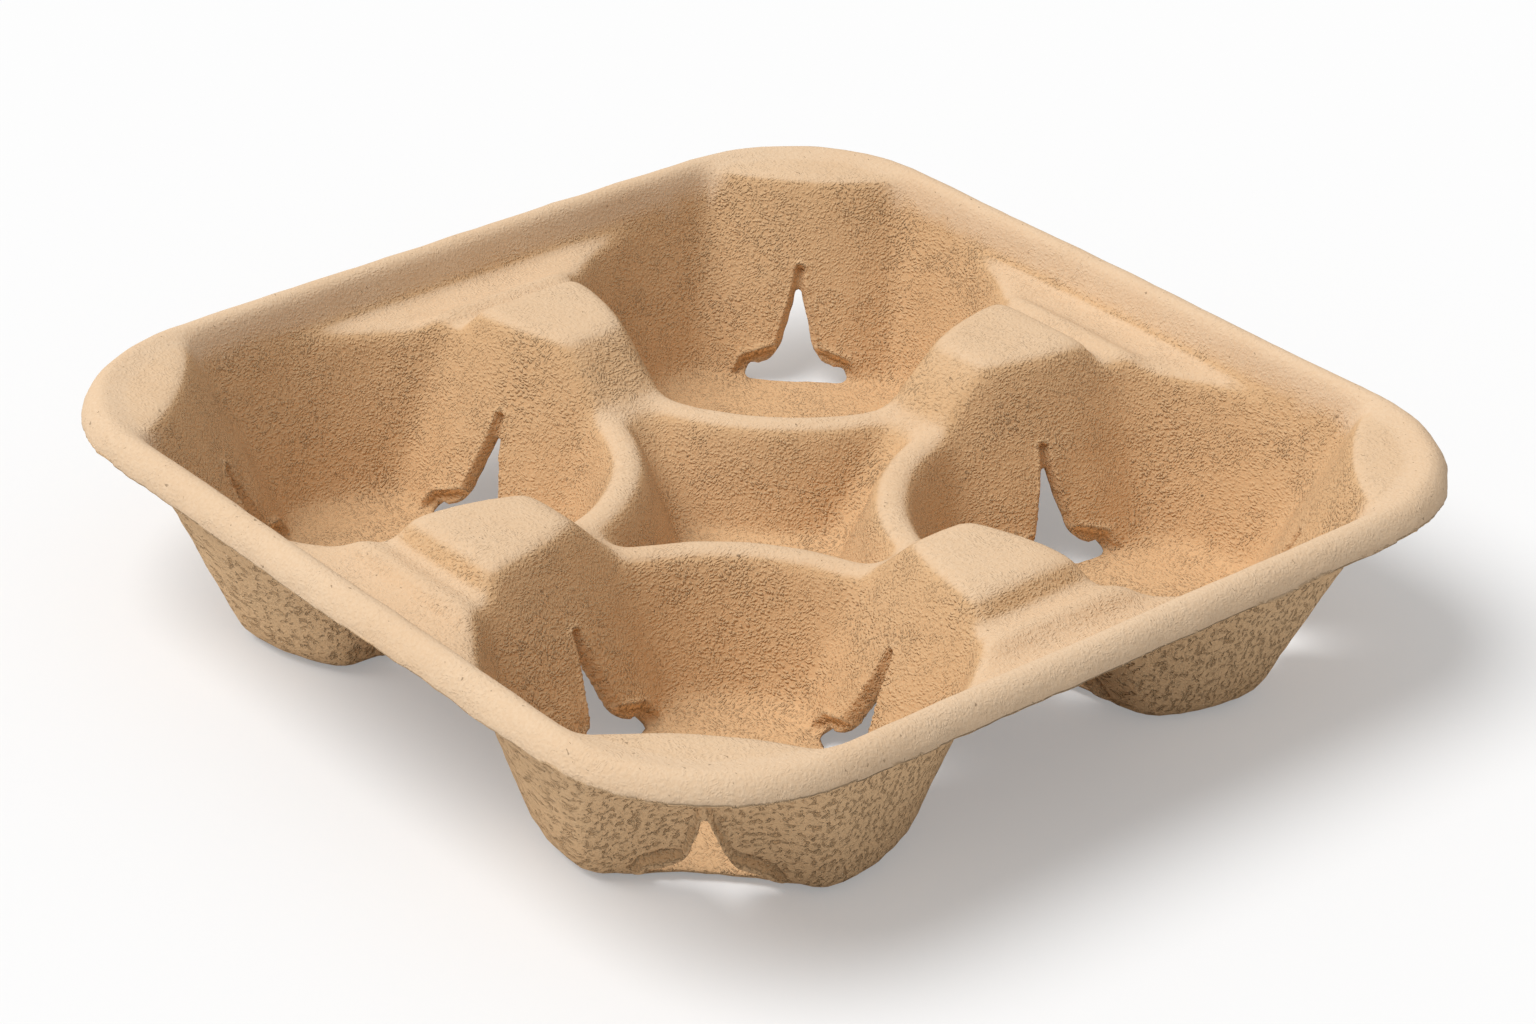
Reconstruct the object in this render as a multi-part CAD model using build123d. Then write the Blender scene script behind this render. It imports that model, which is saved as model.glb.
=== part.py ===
from build123d import *
from math import cos, radians, sqrt, tan
import os

# Carrier for four cups, pressed from one sheet of paper pulp, in millimetres.
# The origin is on the table under the middle of the tray, +Z is up, and X and Y
# run along the straight sides. Each face of the sheet is a mould: the upper face
# has inset 0, and the lower face is the same mould moved in by the sheet.

# Sheet and rim
tray_side = 216.0
tray_height = 45.3
tray_corner_radius = 39.0
sheet = 2.3
rim_width = 7.0
rim_rise = 1.5
rim_inner_slope = 50.0
rim_crown_radius = 5.5
rim_lip_drop = 5.7

# Basin wall inside the rim
basin_taper = 18.0

# Cup pockets: a cone with three finger walls that bulge into it
pocket_spacing = 104.4
pocket_floor_radius = 34.0
pocket_taper = 19.7
finger_floor_reach = 23.3
finger_taper = 25.8
finger_bulge_radius = 77.0
finger_directions = (45, 165, 285)
lobe_fold_radius = 5.0
pocket_floor_fillet = 4.0

# Side bars between the rim and the ridges: pillar, groove, rib and ledge
ridge_height = 30.0
pillar_height = 42.6
pillar_inner_foot = 40.9
pillar_inner_end = 53.5
pillar_outer_end = 77.0
pillar_inner_slope = 45.0
pillar_outer_slope = 32.0
groove_middle = 80.6
groove_height = 36.0
rib_inner_edge = 84.0
rib_outer_edge = 86.6
rib_height = 39.0
ledge_start = 89.4
ledge_height = 36.2
core_half = 95.0
pillar_foot_fillet = 4.0
pillar_top_fillet = 3.5
groove_fillet = 2.6
rib_fillet = 2.2
ledge_fillet = 3.0

# Star-shaped well in the middle
ridge_crest_width = 6.3
well_floor_height = 8.0
well_taper = 19.7
well_tip_reach = 39.0
well_tip_slope = 39.0
well_fold_radius = 2.2

# Rounding of the mouths of the pockets and of the well
mouth_fillet = 2.5
inner_mouth_fillet = 1.5

# Tower-shaped window in each finger wall, with the pressed border round it
window_slit_top = 21.0
window_slit_width = 1.0
window_neck_height = 18.5
window_neck_width = 2.0
window_waist_height = 9.5
window_waist_width = 7.0
window_shoulder_height = 5.2
window_shoulder_width = 21.0
window_sill_width = 24.0
border_top = 26.5
border_width = 2.4
border_depth = 0.8

half_side = tray_side / 2
pocket_centre = pocket_spacing / 2
deck_height = tray_height - rim_rise
cut_top = tray_height + 3
block_bottom = -5.0
bar_half_length = pocket_centre - 6
bar_start = pillar_inner_foot - 20
lip_clearance = 0.5
knife_start = 3.0


def run(angle):
    """Sideways run, for each millimetre of height, of a wall leaning from upright."""
    return tan(radians(angle))


def inset_reach(inset, angle):
    """Growth of a leaning wall's foot when both wall and floor move by the inset."""
    return inset / cos(radians(angle)) - inset * run(angle)


def leaning(outline, floor, top, angle):
    """Cavity that widens upward from an outline on its floor."""
    return extrude(Plane.XY.offset(floor) * outline, top - floor, taper=-angle)


def turned(shape):
    """Four copies of a shape, one on each side of the tray."""
    return [Rot(0, 0, 90 * quarter) * shape for quarter in range(4)]


def pocket_cone(inset):
    """Cone of a pocket about its own axis, closed by a square corner of the tray."""
    radius = pocket_floor_radius + inset_reach(inset, pocket_taper)
    far_side = -radius / sqrt(2)
    outline = make_face([
        Line((0, radius), (radius, radius)),
        Line((radius, radius), (radius, 0)),
        ThreePointArc((radius, 0), (far_side, far_side), (0, radius)),
    ])
    return leaning(outline, sheet - inset, cut_top, pocket_taper)


def finger_wall(direction, inset):
    """Leaning drum whose side is the bulging finger wall."""
    reach = finger_floor_reach + inset_reach(inset, finger_taper)
    axis_reach = reach + finger_bulge_radius / cos(radians(finger_taper))
    drum = Rot(0, finger_taper, 0) * Cylinder(finger_bulge_radius, 2 * tray_side)
    return Pos(0, 0, sheet - inset) * Rot(0, 0, direction) * Pos(axis_reach, 0, 0) * drum


def pocket(inset):
    """Cavity of the pocket in the +X +Y quarter of the tray."""
    cavity = pocket_cone(inset)
    for direction in finger_directions:
        cavity -= finger_wall(direction, inset)
    folds = [edge for edge in cavity.edges()
             if abs((edge @ 0).Z - (edge @ 1).Z) > tray_height / 2]
    cavity = fillet(folds, lobe_fold_radius + inset)
    floor = cavity.faces().sort_by(Axis.Z)[0]
    cavity = fillet(floor.edges(), pocket_floor_fillet + inset)
    return Pos(pocket_centre, pocket_centre, 0) * cavity


def mirrored(shape):
    """A shape of the +X +Y quarter in all four quarters."""
    across = shape.mirror(Plane.YZ)
    return [shape, across, shape.mirror(Plane.XZ), across.mirror(Plane.XZ)]


def well(inset):
    """Cavity of the star-shaped well between the ridges."""
    floor = well_floor_height - inset
    depth = ridge_height - well_floor_height
    half = well_tip_reach - depth * run(well_tip_slope) + inset_reach(inset, well_tip_slope)
    cavity = leaning(Rectangle(2 * half, 2 * half), floor, cut_top, well_tip_slope)
    crest = (pocket_floor_radius + (ridge_height - sheet) * run(pocket_taper)
             + ridge_crest_width - inset / cos(radians(well_taper)))
    rise = cut_top - floor
    upper = crest - (cut_top - ridge_height) * run(well_taper)
    ridge = Cone(upper + rise * run(well_taper), upper, rise)
    ridge = Pos(pocket_centre, pocket_centre, floor + rise / 2) * ridge
    cavity -= mirrored(ridge)
    folds = [edge for edge in cavity.edges() if abs((edge @ 0).Z - (edge @ 1).Z) > depth]
    return fillet(folds, well_fold_radius)


def bar_profile(inset):
    """Profile of a side bar, going out from the middle: (x, height, fillet)."""
    inner = inset_reach(inset, pillar_inner_slope)
    outer = inset_reach(inset, pillar_outer_slope)
    return [
        (bar_start, block_bottom, 0),
        (bar_start, ridge_height - inset, 0),
        (pillar_inner_foot + inner, ridge_height - inset, pillar_foot_fillet),
        (pillar_inner_end + inner, pillar_height - inset, pillar_top_fillet),
        (pillar_outer_end - outer, pillar_height - inset, pillar_top_fillet),
        (groove_middle, groove_height - inset, groove_fillet),
        (rib_inner_edge, rib_height - inset, rib_fillet),
        (rib_outer_edge, rib_height - inset, rib_fillet),
        (ledge_start, ledge_height - inset, ledge_fillet),
        (half_side, ledge_height - inset, 0),
        (half_side, block_bottom, 0),
    ]


def side_bar(inset):
    """Bar across the +X side, from the rim wall to the ridges."""
    points = bar_profile(inset)
    profile = make_face(Polyline([(x, z) for x, z, _ in points], close=True))
    for x, z, radius in points:
        if radius:
            corner = profile.vertices().sort_by_distance((x, z, 0))[0]
            profile = fillet(corner, radius)
    return extrude(Plane.XZ * profile, bar_half_length, both=True)


def octagon(half):
    """Square with its corners cut off just outside the middles of the pockets."""
    corner = half - pocket_centre - sheet
    return chamfer(Rectangle(2 * half, 2 * half).vertices(), corner)


def mouth_edges(before, cutters, after, lowest):
    """Edges that the cutters leave above a height, away from the outer faces of the core."""
    reach = core_half - 0.1
    return [edge for edge in new_edges(before, *cutters, combined=after)
            if (edge @ 0.5).Z > lowest and max(abs((edge @ 0.5).X), abs((edge @ 0.5).Y)) < reach]


def core(inset):
    """Ridges, pillars, ribs and ledges, with rounded pocket and well mouths."""
    top = ridge_height - inset
    blank = extrude(Plane.XY.offset(block_bottom) * octagon(core_half), top - block_bottom)
    space = extrude(Plane.XY.offset(block_bottom) * octagon(core_half), cut_top)
    blank += [bar & space for bar in turned(side_bar(inset))]
    cutters = mirrored(pocket(inset)) + [well(inset)]
    shape = blank - cutters
    radius = inner_mouth_fillet if inset else mouth_fillet
    return fillet(mouth_edges(blank, cutters, shape, top - 0.1), radius)


def rim(inset):
    """Rolled rim with its corner pads and the basin wall."""
    half = half_side - inset
    shape = extrude(Plane.XY.offset(block_bottom)
                    * RectangleRounded(2 * half, 2 * half, tray_corner_radius - inset),
                    tray_height - inset - block_bottom)
    shape = fillet(shape.faces().sort_by(Axis.Z)[-1].edges(), rim_crown_radius - inset)
    inner = half_side - rim_width
    deck = RectangleRounded(2 * (inner + inset), 2 * (inner + inset),
                            tray_corner_radius - rim_width + inset)
    shape -= leaning(deck, deck_height - inset, cut_top, rim_inner_slope)
    foot = inner - (deck_height - ledge_height) * run(basin_taper) + inset_reach(inset, basin_taper)
    shape -= leaning(octagon(foot), ledge_height - inset, cut_top, basin_taper)
    shape -= extrude(Plane.XY.offset(block_bottom) * octagon(core_half), cut_top)
    return shape - mirrored(pocket(inset))


def mould(inset):
    return core(inset) + rim(inset)


def skirt():
    """Ring below the turned-down lip, outside the walls of the pockets."""
    outside = half_side + lip_clearance
    inside = half_side - sheet - lip_clearance
    ring = (RectangleRounded(2 * outside, 2 * outside, tray_corner_radius + lip_clearance)
            - RectangleRounded(2 * inside, 2 * inside, tray_corner_radius + inside - half_side))
    bottom = block_bottom - 1
    return extrude(Plane.XY.offset(bottom) * ring, tray_height - rim_lip_drop - bottom)


def tower(extra, top):
    """Tower-shaped outline about the wall's middle line, wider all round by extra."""
    half = [
        (window_slit_width / 2 + extra * 0.3, top),
        (window_neck_width / 2 + extra * 0.6, window_neck_height),
        (window_waist_width / 2 + extra * 0.8, window_waist_height + extra * 0.5),
        (window_shoulder_width / 2 + extra * 0.6, window_shoulder_height + extra),
        (window_sill_width / 2 + extra, sheet),
    ]
    waist, shoulder = half[2], half[3]
    hollow = ((waist[0] * 0.7 + shoulder[0] * 0.3), (waist[1] * 0.3 + shoulder[1] * 0.7))
    right = [
        Line((0, top), half[0]),
        Line(half[0], half[1]),
        Line(half[1], waist),
        ThreePointArc(waist, hollow, shoulder),
        Line(shoulder, half[4]),
        Line(half[4], (0, sheet)),
    ]
    side = make_face(right + [Line((0, sheet), (0, top))])
    return side + side.mirror(Plane.YZ)


def across_finger(outline, direction, depth):
    """Block that runs out through a finger wall from inside the pocket."""
    wall = Plane(origin=(finger_floor_reach - knife_start, 0, 0), x_dir=(0, 1, 0), z_dir=(1, 0, 0))
    block = extrude(wall * outline, depth)
    return Pos(pocket_centre, pocket_centre, 0) * Rot(0, 0, direction) * block


def windows():
    """Openings through the three finger walls of one pocket."""
    depth = knife_start + window_slit_top * run(finger_taper) + 3 * sheet
    return [across_finger(tower(0, window_slit_top), direction, depth)
            for direction in finger_directions]


def borders(skin):
    """Pressed borders round the windows of one pocket, as deep as the skin given."""
    depth = knife_start + border_top * run(finger_taper) + 3 * sheet
    return [across_finger(tower(border_width, border_top), direction, depth) & skin
            for direction in finger_directions]


def all_quarters(pieces):
    """The pieces of one pocket repeated in all four."""
    return [copy for piece in pieces for copy in mirrored(piece)]


def carrier_tray():
    """The whole sheet: upper mould less lower mould, with its windows cut."""
    pressed = pocket(border_depth)
    raised = borders(pocket(sheet + border_depth) - pressed)
    tray = mould(0) - [mould(sheet), skirt()]
    tray += all_quarters(raised)
    return tray - all_quarters(borders(pressed) + windows())


tray = carrier_tray()
print("solids", len(tray.solids()), "faces", len(tray.faces()), "volume", round(tray.volume))
os.makedirs("parts", exist_ok=True)
export_step(tray, "parts/carrier_tray.step")
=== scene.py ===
import math

import bpy
import numpy as np
from mathutils import Matrix, Vector, noise


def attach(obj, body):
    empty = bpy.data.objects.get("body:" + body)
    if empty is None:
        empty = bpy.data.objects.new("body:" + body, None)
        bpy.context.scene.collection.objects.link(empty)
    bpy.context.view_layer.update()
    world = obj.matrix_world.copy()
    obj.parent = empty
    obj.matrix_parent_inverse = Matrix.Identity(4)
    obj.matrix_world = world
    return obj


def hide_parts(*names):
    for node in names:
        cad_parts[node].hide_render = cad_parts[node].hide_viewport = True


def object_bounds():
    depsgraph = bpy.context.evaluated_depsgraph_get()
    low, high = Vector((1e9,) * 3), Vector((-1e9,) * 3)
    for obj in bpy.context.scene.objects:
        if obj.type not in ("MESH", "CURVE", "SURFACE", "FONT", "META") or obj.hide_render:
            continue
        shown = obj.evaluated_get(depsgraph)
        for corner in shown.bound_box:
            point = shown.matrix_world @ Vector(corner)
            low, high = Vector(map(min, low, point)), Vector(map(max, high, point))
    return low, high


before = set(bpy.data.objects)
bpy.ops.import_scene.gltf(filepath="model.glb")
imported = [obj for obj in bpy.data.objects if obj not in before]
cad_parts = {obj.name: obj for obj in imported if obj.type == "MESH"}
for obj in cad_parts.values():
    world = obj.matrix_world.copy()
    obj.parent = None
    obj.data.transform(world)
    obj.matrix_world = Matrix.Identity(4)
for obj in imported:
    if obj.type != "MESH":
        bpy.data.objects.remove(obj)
cad_low, cad_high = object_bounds()

# Sizes in metres
MM = 0.001
TRAY_NODE = "carrier_tray"
HALF_SIDE = cad_high.x
CORNER_RADIUS = 39 * MM
POCKET_CENTRE = 52.2 * MM
FINGER_DIRECTIONS = (45, 165, 285)
FINGER_TAPER = 25.8
WINDOW_WALL_START = 17 * MM
WINDOW_HALF_WIDTH = 17 * MM
WINDOW_TOP = 29 * MM
LIP_BOTTOM = 39.6 * MM

# Half outline of a window in its wall, as (aside, height) from the top down
WINDOW_OUTLINE = [(x * MM, z * MM) for x, z in (
    (0.5, 21.0), (1.0, 18.5), (3.5, 9.5), (5.6, 7.0), (10.5, 5.2), (12.0, 2.3))]
WINDOW_SHOULDER = 9 * MM

# Pressed border round each window: a thin raised line and a sunk strip inside it
BORDER_WIDTH = 2.4 * MM
BORDER_APEX = 26.5 * MM
BORDER_RIDGE = 0.7 * MM
BORDER_RIDGE_SPREAD = 0.6 * MM
BORDER_SINK = 0.9 * MM
BORDER_SINK_SPREAD = 0.7 * MM

# Mesh of the pulp sheet
VOXEL = 0.6 * MM
FOLD_PASSES = 40
EDGE_PASSES = 3
SOFTENING = 0.6
MOST_TRIANGLES = 192000

# Every run draws the same noise: noise_vector would follow the clock if it had no seed
NOISE_SEED = 7
NOISE_OFFSET = Vector((3.7, 11.3, 5.9))

# Unevenness of the sheet, each as a wavelength and how far the surface moves
BEND = (55 * MM, 0.55 * MM)
WAVES = (9 * MM, 0.16 * MM)
LUMP_WAVELENGTH = 3.2 * MM
LUMPS_ABOVE = 0.05 * MM
LUMPS_MORE_BELOW = 0.13 * MM
FINE_RAGS = (2.4 * MM, 0.11 * MM)
COARSE_RAGS = (7 * MM, 0.2 * MM)
LIP_DROOPS = (17 * MM, 1.6 * MM)
DROOP_THRESHOLD = 0.25

# Camera as in the photograph
CAMERA_AZIMUTH = 49.119
CAMERA_ELEVATION = 28.990
CAMERA_ROLL = 1.434
CAMERA_DISTANCE = 879.3 * MM
CAMERA_LENS = 96.8
CAMERA_AIM = Vector((-29.83, 28.46, 0)) * MM

# Light and table
FLOOR_SIZE = 8
FLOOR_GAP = 0.1 * MM
FLOOR_GREY = (0.60, 0.60, 0.60, 1)
FLOOR_LIFT = 0.27
WHITE = (1, 1, 1, 1)
SKY_STRENGTH = 0.44
SUN_STRENGTH = 2.7
SUN_ANGLE = 0.75
SUN_ACROSS = -0.68
SUN_UP = 1.25
SUN_BEHIND = -0.14

# Colours of the pulp
# Painted shade: the walls' pulp colour, darker and more saturated than the tops
PULP_WALL_PAINTED_SHADE = (0.660, 0.430, 0.235, 1)
# Painted light: the same pulp in a lighter colour for the tops and the rim, where the light falls
PULP_TOP_PAINTED_LIGHT = (0.720, 0.530, 0.355, 1)
PULP_UNDER_COLOUR = (0.860, 0.580, 0.330, 1)
# Painted highlight on the raised felt folds
PULP_PAINTED_HIGHLIGHT = (0.840, 0.640, 0.420, 1)
# Darker tone: random clouds of tone in the pulp, and painted shade in the hollows of the grain and
# of the underside
PULP_DEEP_TONE_AND_SHADE = (0.550, 0.300, 0.120, 1)
SPECK_COLOUR = (0.170, 0.105, 0.060, 1)

# Grain of the pulp: marks to a metre, and the depth of the bump
GRAIN_DEPTH = 0.42 * MM
WANDER_SCALE = 420
WANDER = 1.6 * MM
FOLD_SCALE_A = 900
FOLD_SCALE_B = 1020
FOLD_MIX_SCALE = 210
GRIT_SCALE = 1300
FELT_PATCH_SCALE = 75
GASH_SCALE = 300
CLOUD_SCALE = 26
SPECK_SCALE = 760


def smooth_step(value, low, high):
    """0 below low, 1 above high, and a soft rise between."""
    t = np.clip((value - low) / (high - low), 0, 1)
    return t * t * (3 - 2 * t)


def outline_distance(co):
    """How far each point lies outside the tray's outline seen from above."""
    q = np.abs(co[:, :2]) - (HALF_SIDE - CORNER_RADIUS)
    outside = np.linalg.norm(np.maximum(q, 0), axis=1)
    inside = np.minimum(q.max(axis=1), 0)
    return outside + inside - CORNER_RADIUS


def finger_walls(co):
    """For each finger wall of a pocket: its direction from the pocket's centre, and how far
    each point lies ahead of that centre and aside of the wall's middle."""
    x = np.abs(co[:, 0]) - POCKET_CENTRE
    y = np.abs(co[:, 1]) - POCKET_CENTRE
    for direction in FINGER_DIRECTIONS:
        a = math.radians(direction)
        ahead = x * math.cos(a) + y * math.sin(a)
        aside = np.abs(-x * math.sin(a) + y * math.cos(a))
        yield a, ahead, aside


def window_nearness(co):
    """1 at the windows of the finger walls and 0 away from them."""
    near = np.zeros(len(co))
    below = 1 - smooth_step(co[:, 2], WINDOW_TOP - 4 * MM, WINDOW_TOP)
    for _, ahead, aside in finger_walls(co):
        beside = 1 - smooth_step(aside, WINDOW_HALF_WIDTH - 3 * MM, WINDOW_HALF_WIDTH)
        in_wall = smooth_step(ahead, WINDOW_WALL_START, WINDOW_WALL_START + 3 * MM)
        near = np.maximum(near, beside * below * in_wall)
    return near


def distance_to_line(points, line):
    """Distance of each (aside, height) point from a line of straight runs."""
    least = np.full(len(points), 1.0)
    for start, end in zip(np.array(line[:-1]), np.array(line[1:])):
        run = end - start
        along = np.clip((points - start) @ run / (run @ run), 0, 1)
        least = np.minimum(least, np.linalg.norm(points - start - along[:, None] * run, axis=1))
    return least


def border_outline():
    """Half outline of the pressed border: the window's own outline, moved out."""
    upper = [(aside + 0.55 * BORDER_WIDTH, z)
             for aside, z in WINDOW_OUTLINE[1:] if z > WINDOW_SHOULDER]
    lower = [(aside + 0.75 * BORDER_WIDTH, z + 0.8 * BORDER_WIDTH)
             for aside, z in WINDOW_OUTLINE if z < WINDOW_SHOULDER]
    tip = [(0, BORDER_APEX), (1.1 * MM, BORDER_APEX - 0.6 * MM), (1.5 * MM, BORDER_APEX - 4 * MM)]
    return tip + upper + lower


def near_borders(co):
    """For each wall with a window: the points in it, how far each lies from the border's
    line, whether it lies inside that line, and the way that the wall faces."""
    outline = border_outline()
    lean = math.radians(FINGER_TAPER)
    for a, ahead, aside in finger_walls(co):
        here = np.flatnonzero((ahead > WINDOW_WALL_START)
                              & (aside < WINDOW_HALF_WIDTH + MM)
                              & (co[:, 2] < WINDOW_TOP + MM))
        points = np.stack([aside[here], co[here, 2]], axis=1)
        line_aside = np.interp(-points[:, 1], [-z for _, z in outline], [q for q, _ in outline])
        into_pocket = np.stack([
            -np.sign(co[here, 0]) * math.cos(a) * math.cos(lean),
            -np.sign(co[here, 1]) * math.sin(a) * math.cos(lean),
            np.full(len(here), math.sin(lean)),
        ], axis=1)
        yield here, distance_to_line(points, outline), points[:, 0] < line_aside, into_pocket


def border_step(co):
    """Shift to the pressed border: sunk strip beside the window, thin raised line round it."""
    step = np.zeros_like(co)
    for here, away, inside, into_pocket in near_borders(co):
        ridge = np.exp(-(away / BORDER_RIDGE_SPREAD) ** 2) * BORDER_RIDGE
        sunk = np.where(inside, np.exp(-(away / BORDER_SINK_SPREAD) ** 2) - 1, 0) * BORDER_SINK
        rise = (ridge * (1 - 0.4 * inside) + sunk) * smooth_step(co[here, 2], 2 * MM, 4.5 * MM)
        step[here] = into_pocket * rise[:, None]
    return step


def fine_zones(co):
    """Whether each point needs small faces: along the borders and the lip."""
    fine = lip_nearness(co) > 0.3
    for here, away, inside, _ in near_borders(co):
        reach = np.where(inside, BORDER_WIDTH, 1.6 * MM)
        fine[here] |= away < reach
    return fine


def lip_nearness(co):
    """1 at the cut lip under the rim and 0 away from it."""
    low = 1 - smooth_step(co[:, 2], LIP_BOTTOM + 1.2 * MM, LIP_BOTTOM + 3 * MM)
    return low * smooth_step(outline_distance(co), -7 * MM, -5 * MM)


def read_points(mesh):
    co = np.empty(len(mesh.vertices) * 3)
    mesh.vertices.foreach_get("co", co)
    return co.reshape(-1, 3)


def write_points(mesh, co):
    mesh.vertices.foreach_set("co", co.ravel())
    mesh.update()


def read_normals(mesh):
    normals = np.empty(len(mesh.vertices) * 3)
    mesh.vertices.foreach_get("normal", normals)
    return normals.reshape(-1, 3)


def evaluated_mesh(piece):
    """The mesh that the piece shows with its modifiers applied."""
    graph = bpy.context.evaluated_depsgraph_get()
    mesh = bpy.data.meshes.new_from_object(piece.evaluated_get(graph))
    piece.modifiers.clear()
    return mesh


def neighbour_means(co, edges, counts):
    """Mean of the points that each point shares an edge with."""
    means = np.empty_like(co)
    for axis in range(3):
        total = np.bincount(edges[:, 0], co[edges[:, 1], axis], len(co))
        total += np.bincount(edges[:, 1], co[edges[:, 0], axis], len(co))
        means[:, axis] = total / counts
    return means


def soften(mesh):
    """Rounds the folds as wet pulp does, and leaves the cut edges nearly as they are."""
    co = read_points(mesh)
    edges = np.empty(len(mesh.edges) * 2, int)
    mesh.edges.foreach_get("vertices", edges)
    edges = edges.reshape(-1, 2)
    counts = np.maximum(np.bincount(edges.ravel(), minlength=len(co)), 1)
    cut_edge = np.maximum(window_nearness(co), lip_nearness(co))
    strength = np.full((len(co), 1), SOFTENING)
    for turn in range(FOLD_PASSES):
        co += strength * (neighbour_means(co, edges, counts) - co)
        if turn == EDGE_PASSES:
            strength *= (1 - cut_edge)[:, None]
    write_points(mesh, co)


def noise_values(co, wavelength, most=1.0):
    """Smooth noise at each point, up to about the given value either way."""
    return np.array([noise.noise(Vector(p) / wavelength + NOISE_OFFSET) for p in co]) * most


def noise_vectors(co, wavelength, most):
    """Smooth noise in every direction at each point."""
    return np.array([noise.noise_vector(Vector(p) / wavelength + NOISE_OFFSET) for p in co]) * most


def relief(mesh):
    """Uneven walls, a wavy rim and ragged cut edges."""
    co = read_points(mesh)
    normals = read_normals(mesh)
    near_window = window_nearness(co)
    near_lip = lip_nearness(co)
    underside = smooth_step(-normals[:, 2], -0.05, 0.25)
    bend = noise_vectors(co, *BEND)
    bend[:, 2] *= smooth_step(co[:, 2], 2 * MM, 18 * MM)
    waves = noise_values(co, *WAVES)
    lumps = noise_values(co, LUMP_WAVELENGTH) * (LUMPS_ABOVE + LUMPS_MORE_BELOW * underside)
    co += bend + normals * (waves + lumps)[:, None]
    ragged = noise_vectors(co, *FINE_RAGS) + noise_vectors(co, *COARSE_RAGS)
    co += ragged * np.maximum(near_window, near_lip)[:, None]
    droop_wavelength, most_droop = LIP_DROOPS
    droops = noise_values(co * (1, 1, 0), droop_wavelength) - DROOP_THRESHOLD
    co[:, 2] -= near_lip * np.maximum(droops, 0) * most_droop
    co += border_step(co)
    write_points(mesh, np.clip(co, cad_low, cad_high))


def mark_surfaces(mesh):
    """Point values that the material reads: the underside and the rim."""
    co = read_points(mesh)
    normals = read_normals(mesh)
    distance = outline_distance(co)
    marks = {
        "underside": smooth_step(-normals[:, 2], -0.02, 0.2),
        "rim": smooth_step(distance, -13 * MM, -9 * MM) * smooth_step(co[:, 2], 37 * MM, 40 * MM),
    }
    for name, values in marks.items():
        layer = mesh.attributes.new(name, "FLOAT", "POINT")
        layer.data.foreach_set("value", values.astype(np.float32))


def pulp_tray(node):
    """The tray as one dense mesh made from the CAD sheet: the borders and the lip keep all
    their faces, and the plain walls give some up."""
    piece = bpy.data.objects.new("pulp_tray", node.data.copy())
    bpy.context.scene.collection.objects.link(piece)
    remesh = piece.modifiers.new("even mesh", "REMESH")
    remesh.mode = "VOXEL"
    remesh.voxel_size = VOXEL
    piece.data = evaluated_mesh(piece)
    soften(piece.data)
    relief(piece.data)
    triangles = 2 * len(piece.data.polygons)
    if triangles > MOST_TRIANGLES:
        plain = piece.vertex_groups.new(name="plain_walls")
        fine = fine_zones(read_points(piece.data))
        plain.add(np.flatnonzero(~fine).tolist(), 1.0, "REPLACE")
        plain.add(np.flatnonzero(fine).tolist(), 0.5, "REPLACE")
        fewer = piece.modifiers.new("fewer faces", "DECIMATE")
        fewer.vertex_group = plain.name
        fewer.vertex_group_factor = 1.0
        fewer.ratio = MOST_TRIANGLES / triangles
        piece.data = evaluated_mesh(piece)
    write_points(piece.data, np.clip(read_points(piece.data), cad_low, cad_high))
    mark_surfaces(piece.data)
    piece.data.shade_smooth()
    piece.data.name = "pulp_tray"
    return piece


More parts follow.
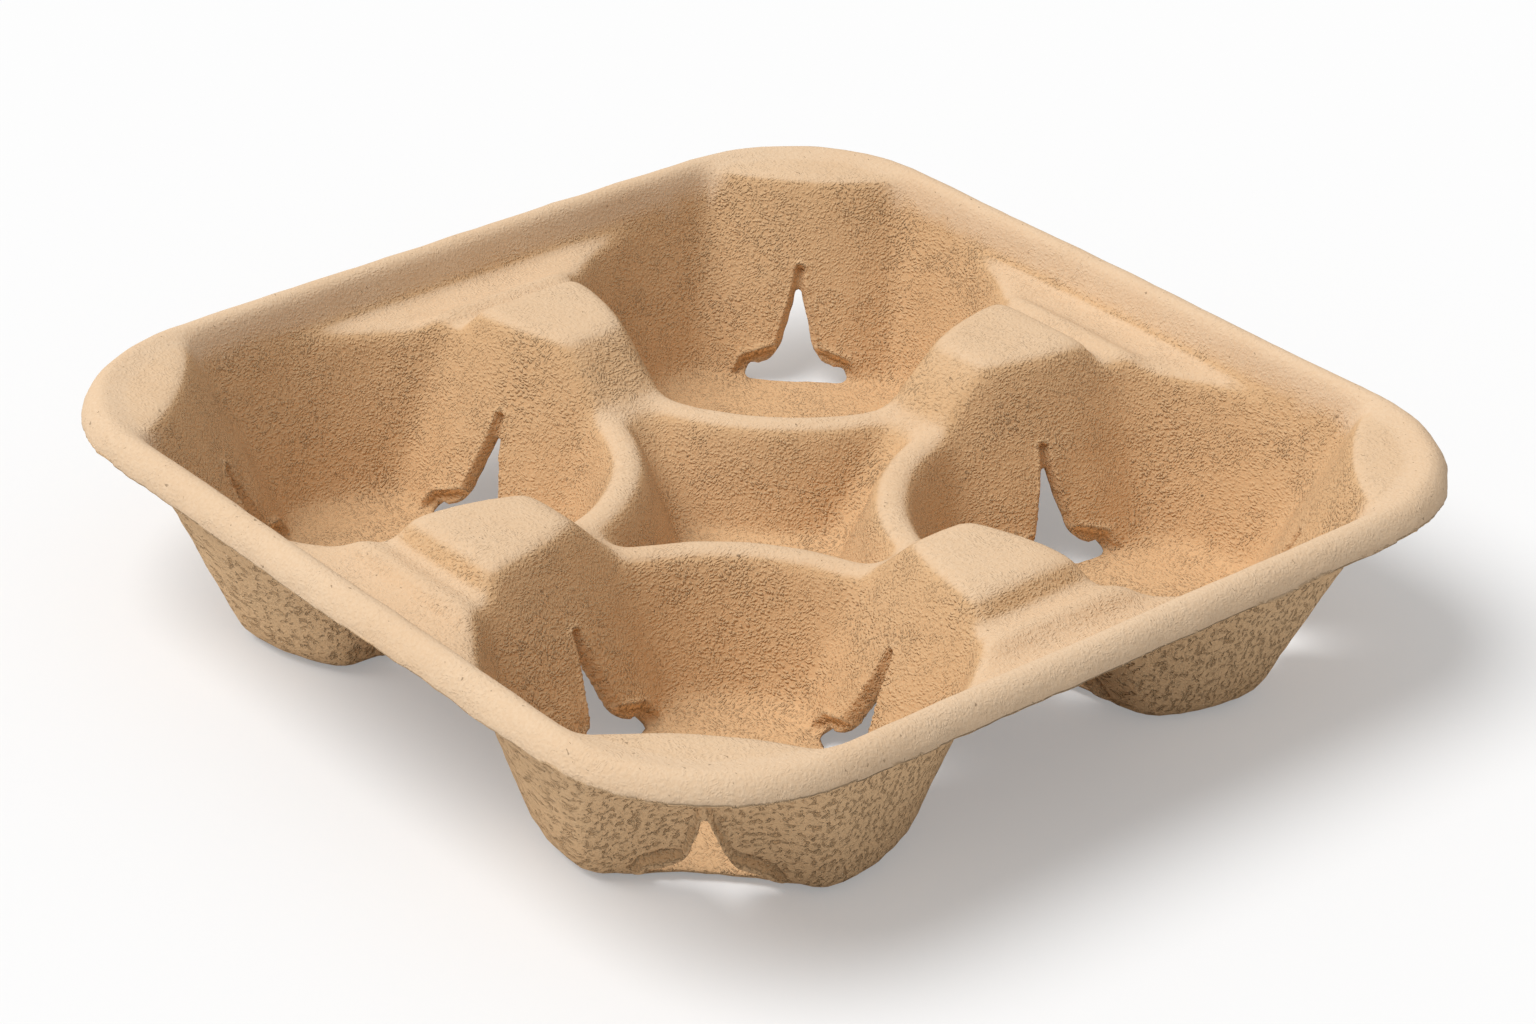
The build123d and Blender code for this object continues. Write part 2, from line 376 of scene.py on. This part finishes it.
class Nodes:
    """Short calls for building one material's nodes."""

    def __init__(self, material):
        material.use_nodes = True
        self.tree = material.node_tree
        self.tree.nodes.clear()

    def add(self, kind, inputs=None, **settings):
        """New node with the given settings; an input takes a value or another node's output."""
        node = self.tree.nodes.new(kind)
        for name, value in settings.items():
            setattr(node, name, value)
        for name, value in (inputs or {}).items():
            if isinstance(value, bpy.types.NodeSocket):
                self.tree.links.new(value, node.inputs[name])
            else:
                node.inputs[name].default_value = value
        return node

    def mark(self, name):
        """Point value that was written on the mesh."""
        return self.add("ShaderNodeAttribute", attribute_name=name).outputs["Fac"]

    def math(self, operation, a, b):
        return self.add("ShaderNodeMath", {0: a, 1: b}, operation=operation).outputs[0]

    def times(self, a, b):
        return self.math("MULTIPLY", a, b)

    def plus(self, a, b):
        return self.math("ADD", a, b)

    def rest(self, a):
        """What is left of 1."""
        return self.math("SUBTRACT", 1.0, a)

    def ramp(self, value, low, high, start=0.0, end=1.0):
        """Soft rise from start to end while the value goes from low to high."""
        node = self.add("ShaderNodeMapRange", {
            "Value": value, "From Min": low, "From Max": high, "To Min": start, "To Max": end,
        }, interpolation_type="SMOOTHSTEP")
        return node.outputs["Result"]

    def noise(self, place, scale, detail, roughness=0.55, distortion=0.0):
        return self.add("ShaderNodeTexNoise", {
            "Vector": place, "Scale": scale, "Detail": detail, "Roughness": roughness,
            "Distortion": distortion,
        }).outputs["Fac"]

    def cells(self, place, scale):
        """Distance from the middle of the nearest of many scattered cells."""
        return self.add("ShaderNodeTexVoronoi", {"Vector": place, "Scale": scale},
                        feature="F1").outputs["Distance"]

    def turned(self, place, angles, stretch):
        """Coordinates turned and stretched, for marks that lie mostly one way."""
        return self.add("ShaderNodeMapping", {
            "Vector": place, "Rotation": [math.radians(a) for a in angles], "Scale": stretch,
        }).outputs["Vector"]

    def mix(self, factor, a, b):
        return self.add("ShaderNodeMix", {"Factor": factor, "A": a, "B": b}).outputs[0]

    def mix_colour(self, factor, a, b):
        node = self.add("ShaderNodeMix", {"Factor": factor, "A": a, "B": b}, data_type="RGBA")
        return node.outputs["Result"]

    def wandering(self, place):
        """Coordinates shifted a little here and there, so that marks curl."""
        wander = self.add("ShaderNodeTexNoise", {
            "Vector": place, "Scale": WANDER_SCALE, "Detail": 2.0}).outputs["Color"]
        shift = self.add("ShaderNodeVectorMath", {0: wander, "Scale": WANDER},
                         operation="SCALE").outputs[0]
        return self.add("ShaderNodeVectorMath", {0: place, 1: shift}, operation="ADD").outputs[0]


def pulp_material():
    """Moulded paper pulp: felt-like wrinkles inside, smoother rim, coarse pitted underside, with
    painted light and shade in its colour: lighter tops, darker walls, paler folds and darker
    hollows.
    """
    material = bpy.data.materials.new("moulded_pulp")
    n = Nodes(material)
    place = n.add("ShaderNodeTexCoord").outputs["Object"]
    curled = n.wandering(place)
    underside = n.mark("underside")

    # The rim and the flat tops were smoothed by the press; the same mask paints them a lighter
    # colour as painted light, and leaves the walls a darker colour as painted shade
    normal = n.add("ShaderNodeNewGeometry").outputs["Normal"]
    facing_up = n.add("ShaderNodeSeparateXYZ", {0: normal}).outputs["Z"]
    height_above_table = n.add("ShaderNodeSeparateXYZ", {0: place}).outputs["Z"]
    flat_top = n.times(n.ramp(facing_up, 0.64, 0.93),
                       n.ramp(height_above_table, 20 * MM, 28 * MM))
    smooth_and_painted_lit = n.math("MAXIMUM", n.mark("rim"), n.times(flat_top, 0.8))

    # Felt of short curled fibres: thin raised folds with hollows between them; the raised folds
    # are also coloured paler as a painted highlight
    folds_a = n.cells(n.turned(curled, (35, 20, 40), (1.0, 2.4, 1.7)), FOLD_SCALE_A)
    folds_b = n.cells(n.turned(curled, (-30, 45, -25), (2.3, 1.0, 1.6)), FOLD_SCALE_B)
    either = n.ramp(n.noise(place, FOLD_MIX_SCALE, 1), 0.42, 0.58)
    felt = n.ramp(n.mix(either, folds_a, folds_b), 0.03, 0.66, 1.0, 0.0)
    felt_strength = n.ramp(n.noise(place, FELT_PATCH_SCALE, 2), 0.35, 0.7, 0.45, 1.0)
    felt_height = n.times(n.times(felt, felt_strength), n.rest(n.times(smooth_and_painted_lit, 0.75)))
    grit = n.noise(place, GRIT_SCALE, 2, 0.6)

    # Long gashes and pits of the screen side; the hollows between the gashes are coloured darker
    # as painted shade
    gash = n.noise(n.turned(curled, (10, 62, 30), (1.0, 4.2, 2.4)), GASH_SCALE, 2, 0.6)
    gash = n.ramp(gash, 0.27, 0.50)
    painted_pit_shade = n.times(n.rest(gash), n.times(underside, 0.34))

    upper = n.plus(felt_height, n.times(grit, 0.45))
    lower = n.plus(n.times(gash, 1.9), n.plus(n.times(felt, 0.35), n.times(grit, 0.5)))
    height = n.mix(underside, upper, lower)

    # Colour: each layer over the one before, by the strength given first
    cloud = n.noise(place, CLOUD_SCALE, 3, 0.5)
    speck = n.noise(n.turned(place, (50, 10, 15), (1.0, 1.9, 1.3)), SPECK_SCALE, 1, 0.4, 0.6)
    # Painted light and shade: the walls take the darker colour, the rim and flat tops the lighter
    # one
    colour = n.mix_colour(smooth_and_painted_lit, PULP_WALL_PAINTED_SHADE, PULP_TOP_PAINTED_LIGHT)
    for strength, layer in (
        (underside, PULP_UNDER_COLOUR),
        (n.ramp(cloud, 0.35, 0.75, 0.0, 0.13), PULP_DEEP_TONE_AND_SHADE),
        # Painted highlight: the raised felt folds coloured paler
        (n.ramp(felt_height, 0.20, 1.0, 0.0, 0.12), PULP_PAINTED_HIGHLIGHT),
        # Painted shade: the low points of the grit coloured darker
        (n.ramp(grit, 0.62, 0.38, 0.0, 0.12), PULP_DEEP_TONE_AND_SHADE),
        # Painted shade: the underside's hollows coloured darker
        (painted_pit_shade, PULP_DEEP_TONE_AND_SHADE),
        (n.ramp(speck, 0.735, 0.78, 0.0, 0.6), SPECK_COLOUR),
    ):
        colour = n.mix_colour(strength, colour, layer)

    bump = n.add("ShaderNodeBump", {"Strength": 1.0, "Distance": GRAIN_DEPTH, "Height": height})
    shader = n.add("ShaderNodeBsdfPrincipled", {
        "Base Color": colour, "Roughness": 0.93, "Normal": bump.outputs["Normal"],
        "Specular IOR Level": 0.18,
    })
    n.add("ShaderNodeOutputMaterial", {"Surface": shader.outputs["BSDF"]})
    return material


def floor_material():
    """White table: lit like paper, with a little added for the camera so that it reads white."""
    material = bpy.data.materials.new("white_table")
    n = Nodes(material)
    paper = n.add("ShaderNodeBsdfDiffuse", {"Color": FLOOR_GREY})
    camera_ray = n.add("ShaderNodeLightPath").outputs["Is Camera Ray"]
    glow = n.add("ShaderNodeEmission", {
        "Color": WHITE, "Strength": n.times(camera_ray, FLOOR_LIFT)})
    both = n.add("ShaderNodeAddShader", {0: paper.outputs[0], 1: glow.outputs[0]})
    n.add("ShaderNodeOutputMaterial", {"Surface": both.outputs[0]})
    return material


def floor():
    bpy.ops.mesh.primitive_plane_add(size=FLOOR_SIZE, location=(0, 0, -FLOOR_GAP))
    table = bpy.context.object
    table.name = "floor"
    table.data.materials.append(floor_material())


def camera():
    """The photograph's view. Gives its directions across the picture and back to the camera."""
    a, e, r = (math.radians(v) for v in (CAMERA_AZIMUTH, CAMERA_ELEVATION, CAMERA_ROLL))
    back = Vector((math.sin(a) * math.cos(e), -math.cos(a) * math.cos(e), math.sin(e)))
    across = (-back).cross(Vector((0, 0, 1))).normalized()
    up = across.cross(-back)
    across, up = math.cos(r) * across + math.sin(r) * up, math.cos(r) * up - math.sin(r) * across
    data = bpy.data.cameras.new("camera")
    data.lens = CAMERA_LENS
    data.sensor_width = 36
    data.clip_start = 0.02
    holder = bpy.data.objects.new("camera", data)
    bpy.context.scene.collection.objects.link(holder)
    holder.matrix_world = Matrix((across, up, back)).transposed().to_4x4()
    holder.location = CAMERA_AIM + back * CAMERA_DISTANCE
    bpy.context.scene.camera = holder
    return across, back


def lights(across, back):
    """A broad lamp from the picture's upper left, a little in front, and a white sky."""
    behind = Vector((-back.x, -back.y, 0))
    toward_lamp = across * SUN_ACROSS + Vector((0, 0, SUN_UP)) + behind * SUN_BEHIND
    data = bpy.data.lights.new("key", "SUN")
    data.energy = SUN_STRENGTH
    data.angle = SUN_ANGLE
    lamp = bpy.data.objects.new("key", data)
    lamp.rotation_euler = toward_lamp.to_track_quat("Z", "Y").to_euler()
    bpy.context.scene.collection.objects.link(lamp)

    world = bpy.data.worlds.new("sky")
    bpy.context.scene.world = world
    world.use_nodes = True
    tree = world.node_tree
    background = tree.nodes["Background"]
    background.inputs["Color"].default_value = WHITE
    path = tree.nodes.new("ShaderNodeLightPath")
    strength = tree.nodes.new("ShaderNodeMapRange")
    strength.inputs["To Min"].default_value = SKY_STRENGTH
    strength.inputs["To Max"].default_value = 1.0
    tree.links.new(path.outputs["Is Camera Ray"], strength.inputs["Value"])
    tree.links.new(strength.outputs["Result"], background.inputs["Strength"])


noise.seed_set(NOISE_SEED)
tray = pulp_tray(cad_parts[TRAY_NODE])
tray.data.materials.clear()
tray.data.materials.append(pulp_material())
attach(tray, "root")
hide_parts(TRAY_NODE)

floor()
lights(*camera())
bpy.context.scene.view_settings.view_transform = "Standard"
